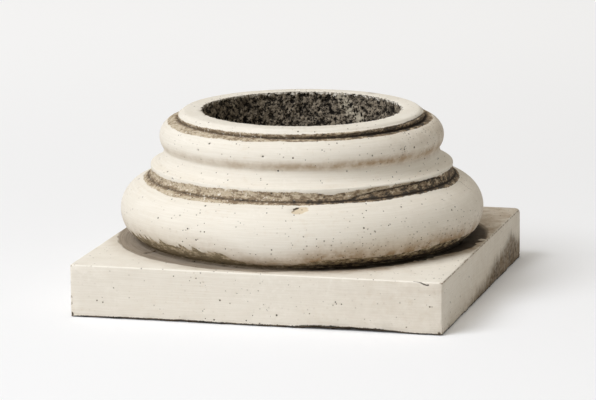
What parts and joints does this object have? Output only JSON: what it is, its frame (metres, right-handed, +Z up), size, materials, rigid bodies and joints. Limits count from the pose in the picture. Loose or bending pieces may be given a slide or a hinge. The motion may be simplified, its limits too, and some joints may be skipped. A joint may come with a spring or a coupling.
{
  "type": "cast stone column base",
  "caption": "Square slab carrying turned column-base mouldings, a lower torus, a fillet, a scotia, an upper torus and a top fillet, with a round core hole through it.",
  "frame": {"origin": "centre of the underside, on the axis of the core hole", "axes": "+Z up along the core hole, +X and +Y square to the slab's sides, with the knocked corner at +X +Y"},
  "size_m": [0.45, 0.45, 0.22],
  "materials": {
    "cast_stone": "matt, sanded cast face with bug holes; rough and dark in the core hole"
  },
  "bodies": {
    "root": {"plinth": "cast_stone"}
  },
  "joints": []
}
